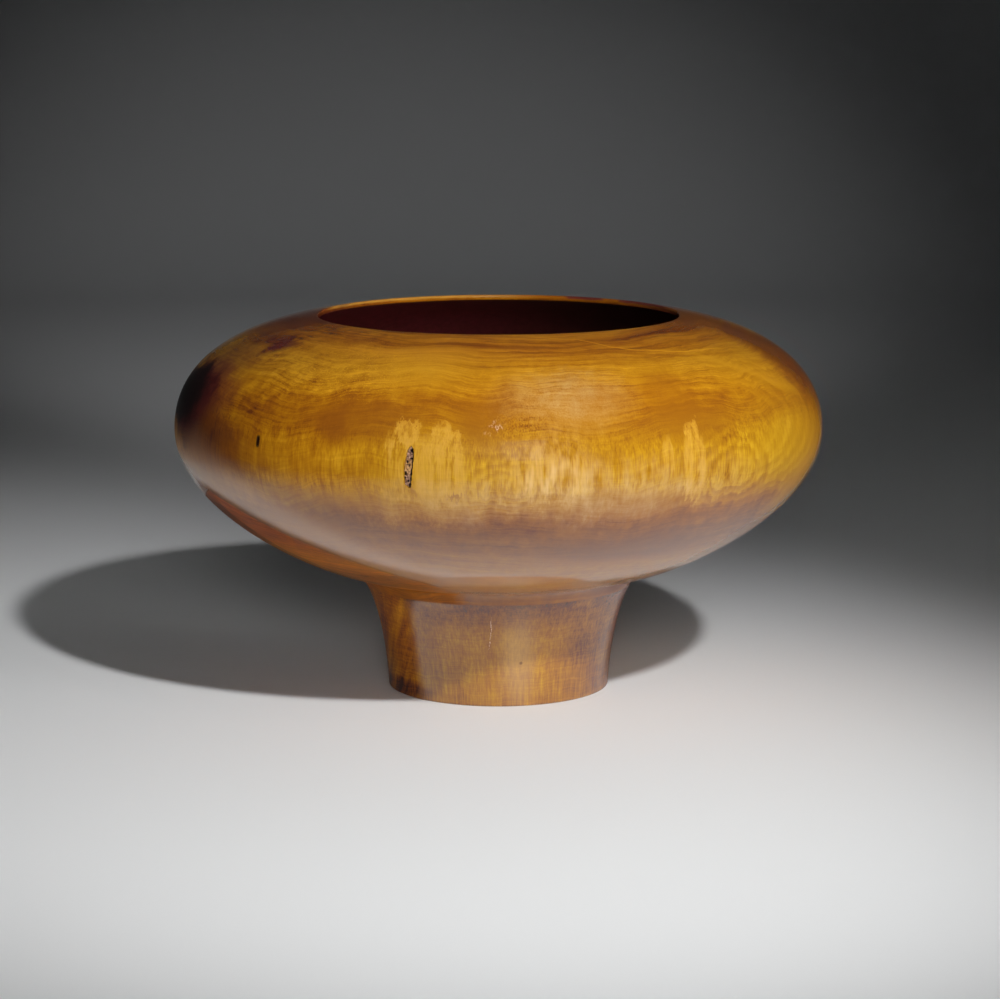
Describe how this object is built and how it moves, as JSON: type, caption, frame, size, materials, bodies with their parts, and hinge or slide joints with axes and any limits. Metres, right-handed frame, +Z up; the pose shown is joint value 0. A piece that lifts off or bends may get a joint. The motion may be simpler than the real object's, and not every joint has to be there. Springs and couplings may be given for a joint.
{
  "type": "wooden bowl",
  "caption": "Wide hollow wooden bowl, turned, with a full rounded belly, a closed-in round mouth and a solid waisted foot joined by a round tenon.",
  "frame": {"origin": "on the turning axis, in the plane of the foot's rest ring, which is the surface that the bowl stands on", "axes": "+Z up along the turning axis, from the foot to the mouth; -Y points to the side with the large bark inclusion, which lies 14.5 degrees from -Y towards -X"},
  "size_m": [0.51, 0.51, 0.2963],
  "materials": {
    "body_wood": "golden amber figured wood with darker heartwood, clear satin-gloss lacquer",
    "foot_wood": "amber brown wood, clear satin-gloss lacquer",
    "bark": "rough dull bark",
    "filler": "pale filler, dull"
  },
  "bodies": {
    "root": {"bowl_body": "body_wood", "pedestal_foot": "foot_wood", "bark_inclusion": "bark", "small_bark_inclusion": "bark", "foot_check_filler": "filler"}
  },
  "joints": []
}
